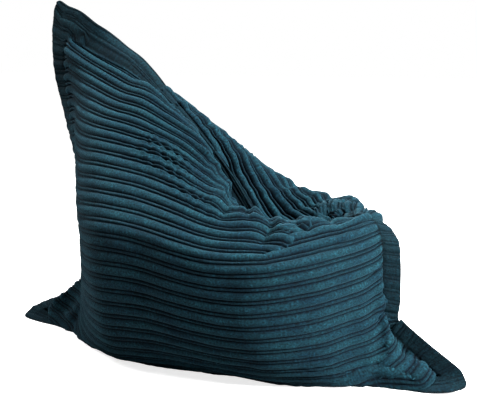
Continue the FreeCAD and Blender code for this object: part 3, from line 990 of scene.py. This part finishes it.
def bumped(tree, shader, height, strength, distance, invert=False):
    bump = add(tree, "ShaderNodeBump", Height=height, Strength=strength, Distance=distance,
               invert=invert)
    tree.links.new(bump.outputs["Normal"], shader.inputs["Normal"])


def corduroy():
    """Teal plush: brushed patches and grain, with a painted highlight on the rib crowns and painted
    shade in its grooves (partly their darker bare backing), at its seams and on its border.
    """
    material, tree, shader = new_material("corduroy", (0.004, 0.018, 0.026), 0.88, 0.12, 0.10)
    shader.inputs["Sheen Tint"].default_value = (0.22, 0.68, 0.92, 1)
    groove, seam_shadow, border = [
        add(tree, "ShaderNodeAttribute", attribute_name=mark).outputs["Fac"]
        for mark in ("groove", "seam_shadow", "border")]
    patches = cut_noise(tree, (9, 16, 1), 3.0)
    brushed = cut_noise(tree, (120, 45, 1), 4.0)
    grain = cut_noise(tree, (150, 190, 1), 3.0)
    fuzz = cut_noise(tree, (900, 700, 1), 4.0)
    color = ramp(tree, patches, [(0.30, (0.0018, 0.0122, 0.0210)), (0.70, (0.0043, 0.0243, 0.0335))])
    shades = [(brushed, [(0.34, grey(0.75)), (0.56, grey(1.0)), (0.72, grey(1.7))]),
              (grain, [(0.33, grey(0.38)), (0.67, grey(1.95))]),
              # painted highlight on the rib crowns; painted shade in the grooves, partly their real
              # darker backing
              (groove, [(0.05, grey(1.15)), (0.30, grey(0.95)), (0.62, (0.42, 0.46, 0.52)),
                        (0.95, (0.09, 0.12, 0.19))]),
              # painted shadow along the stitched seams
              (seam_shadow, [(0.0, grey(1.0)), (1.0, grey(0.35))]),
              # painted shade over the whole border
              (border, [(0.0, grey(1.0)), (1.0, grey(0.50))])]
    for factor, stops in shades:
        color = times(tree, color, ramp(tree, factor, stops))
    tree.links.new(color, shader.inputs["Base Color"])
    bumped(tree, shader, joined(tree, "ADD", fuzz, brushed), 0.7, 0.0018)
    return material


def woven(name, color, scale):
    """A thin weave, for the inner bag and the zip tapes."""
    material, tree, shader = new_material(name, color, 0.8, 0.1, 0.25)
    place = add(tree, "ShaderNodeTexCoord").outputs["Object"]
    waves = [add(tree, "ShaderNodeTexWave", Vector=place, Scale=scale, bands_direction=direction)
             for direction in ("X", "Y")]
    weave = joined(tree, "MULTIPLY", waves[0].outputs["Fac"], waves[1].outputs["Fac"])
    shade = ramp(tree, weave, [(0.0, [0.8 * c for c in color]), (1.0, color)])
    tree.links.new(shade, shader.inputs["Base Color"])
    bumped(tree, shader, weave, 0.3, 0.0003)
    return material


def grained(name, color, roughness, scale, depth, specular=0.4, metal=0.0):
    """A fine even grain, for beads, nylon coils and painted zinc."""
    material, tree, shader = new_material(name, color, roughness, 0.0, specular)
    shader.inputs["Metallic"].default_value = metal
    place = add(tree, "ShaderNodeTexCoord").outputs["Object"]
    cells = add(tree, "ShaderNodeTexVoronoi", Vector=place, Scale=scale).outputs["Distance"]
    shade = ramp(tree, cells, [(0.0, color), (0.8, [0.75 * c for c in color])])
    tree.links.new(shade, shader.inputs["Base Color"])
    bumped(tree, shader, cells, 0.5, depth, True)
    return material


def dress(piece, material):
    piece.data.materials.clear()
    piece.data.materials.append(material)


# ---- studio
def placed(name, data, place):
    piece = bpy.data.objects.new(name, data)
    piece.location = place
    bpy.context.scene.collection.objects.link(piece)
    return piece


def camera():
    data = bpy.data.cameras.new("camera")
    data.lens = LENS
    piece = placed("camera", data, CAMERA_PLACE)
    piece.rotation_euler = (radians(90 - CAMERA_DOWN), 0, radians(CAMERA_ROUND))
    bpy.context.scene.camera = piece


def lamp(name, place, aim, size, power):
    data = bpy.data.lights.new(name, "AREA")
    data.shape = "DISK"
    data.size = size
    data.energy = power
    way = Vector(aim) - Vector(place)
    placed(name, data, place).rotation_euler = way.to_track_quat("-Z", "Y").to_euler()


def seen_or_lit(tree, lit, seen, output):
    """Shows the camera one thing and lets the object be lit by another."""
    to_camera = add(tree, "ShaderNodeLightPath").outputs["Is Camera Ray"]
    mix = add(tree, "ShaderNodeMixShader", Fac=to_camera)
    tree.links.new(lit.outputs[0], mix.inputs[1])
    tree.links.new(seen.outputs[0], mix.inputs[2])
    tree.links.new(mix.outputs[0], output.inputs["Surface"])


def plain_floor():
    """A pale floor that turns white away from the bag, as the camera sees it."""
    mesh = bpy.data.meshes.new("floor")
    far = FLOOR_SIZE
    mesh.from_pydata([(-far, -far, 0), (far, -far, 0), (far, far, 0), (-far, far, 0)], [],
                     [(0, 1, 2, 3)])
    floor = placed("floor", mesh, (0, 0, 0))
    material = bpy.data.materials.new("floor")
    material.use_nodes = True
    tree = material.node_tree
    tree.nodes.clear()
    lit = add(tree, "ShaderNodeBsdfDiffuse", Color=(*grey(FLOOR_LIT), 1))
    shown = add(tree, "ShaderNodeBsdfDiffuse", Color=(*grey(FLOOR_SHOWN), 1))
    place = add(tree, "ShaderNodeTexCoord").outputs["Object"]
    away = add(tree, "ShaderNodeVectorMath", operation="LENGTH", Vector=place).outputs["Value"]
    level = add(tree, "ShaderNodeMapRange", interpolation_type="SMOOTHSTEP", Value=away, **GLOW)
    glow = add(tree, "ShaderNodeEmission", Strength=level.outputs["Result"])
    both = add(tree, "ShaderNodeAddShader")
    tree.links.new(shown.outputs[0], both.inputs[0])
    tree.links.new(glow.outputs[0], both.inputs[1])
    seen_or_lit(tree, lit, both, add(tree, "ShaderNodeOutputMaterial"))
    floor.data.materials.append(material)


def soft_sky():
    """A white backdrop that gives the object a little even light."""
    world = bpy.data.worlds.new("studio")
    bpy.context.scene.world = world
    world.use_nodes = True
    tree = world.node_tree
    sky = tree.nodes["Background"]
    sky.inputs["Color"].default_value = (1, 1, 1, 1)
    sky.inputs["Strength"].default_value = SKY
    white = add(tree, "ShaderNodeBackground", Color=(1, 1, 1, 1), Strength=1.0)
    seen_or_lit(tree, sky, white, tree.nodes["World Output"])


# ---- the scene
camera()
bpy.context.scene.view_settings.view_transform = "Standard"
plain_floor()
soft_sky()
for row in LAMPS:
    lamp(*row)

room = Room()
cloth = settled_cloth(room)
cord_cloth = corduroy()
liner_cloth = woven("inner_bag_cloth", (0.75, 0.74, 0.70), 900)
for side, word in ((-1, "right"), (1, "left")):
    panel = cover_panel(cloth, side, "corduroy_panel_" + word)
    dress(panel, cord_cloth)
    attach(panel, "bag")
    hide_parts("cover_panel_" + word)

for grid, word in zip(inner_grids(cloth, room, LINER_INSET, LINER_FLOOR), ("right", "left")):
    panel = grid_mesh("inner_bag_panel_" + word, [grid])
    dress(panel, liner_cloth)
    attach(panel, "bag")
    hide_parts("liner_panel_" + word)

beads = grid_mesh("beads", inner_grids(cloth, room, BEAD_INSET, BEAD_FLOOR))
closed(beads)
dress(beads, grained("polystyrene_beads", (0.92, 0.92, 0.90), 0.6, 260, 0.002))
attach(beads, "bag")
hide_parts("bead_fill")

# The zips keep their CAD meshes.
dark_tape = woven("cover_zip_tape", (0.02, 0.06, 0.08), 1500)
pale_tape = woven("liner_zip_tape", (0.72, 0.71, 0.68), 1500)
nylon = grained("nylon_coil", (0.03, 0.05, 0.06), 0.4, 900, 0.0002, 0.5)
zinc = grained("painted_zinc", (0.10, 0.10, 0.11), 0.35, 700, 0.0001, 0.5, 0.6)
finishes = [("cover_zip_tape", dark_tape, "cover_zip_tape"),
            ("liner_zip_tape", pale_tape, "liner_zip_tape"),
            ("coil", nylon, "zip_coil"), ("stops", zinc, "zip_metal"), ("slider", zinc, "zip_metal")]
for name, node in frame["nodes"].items():
    for word, material, slot in finishes:
        if word in name:
            dress(node, material)
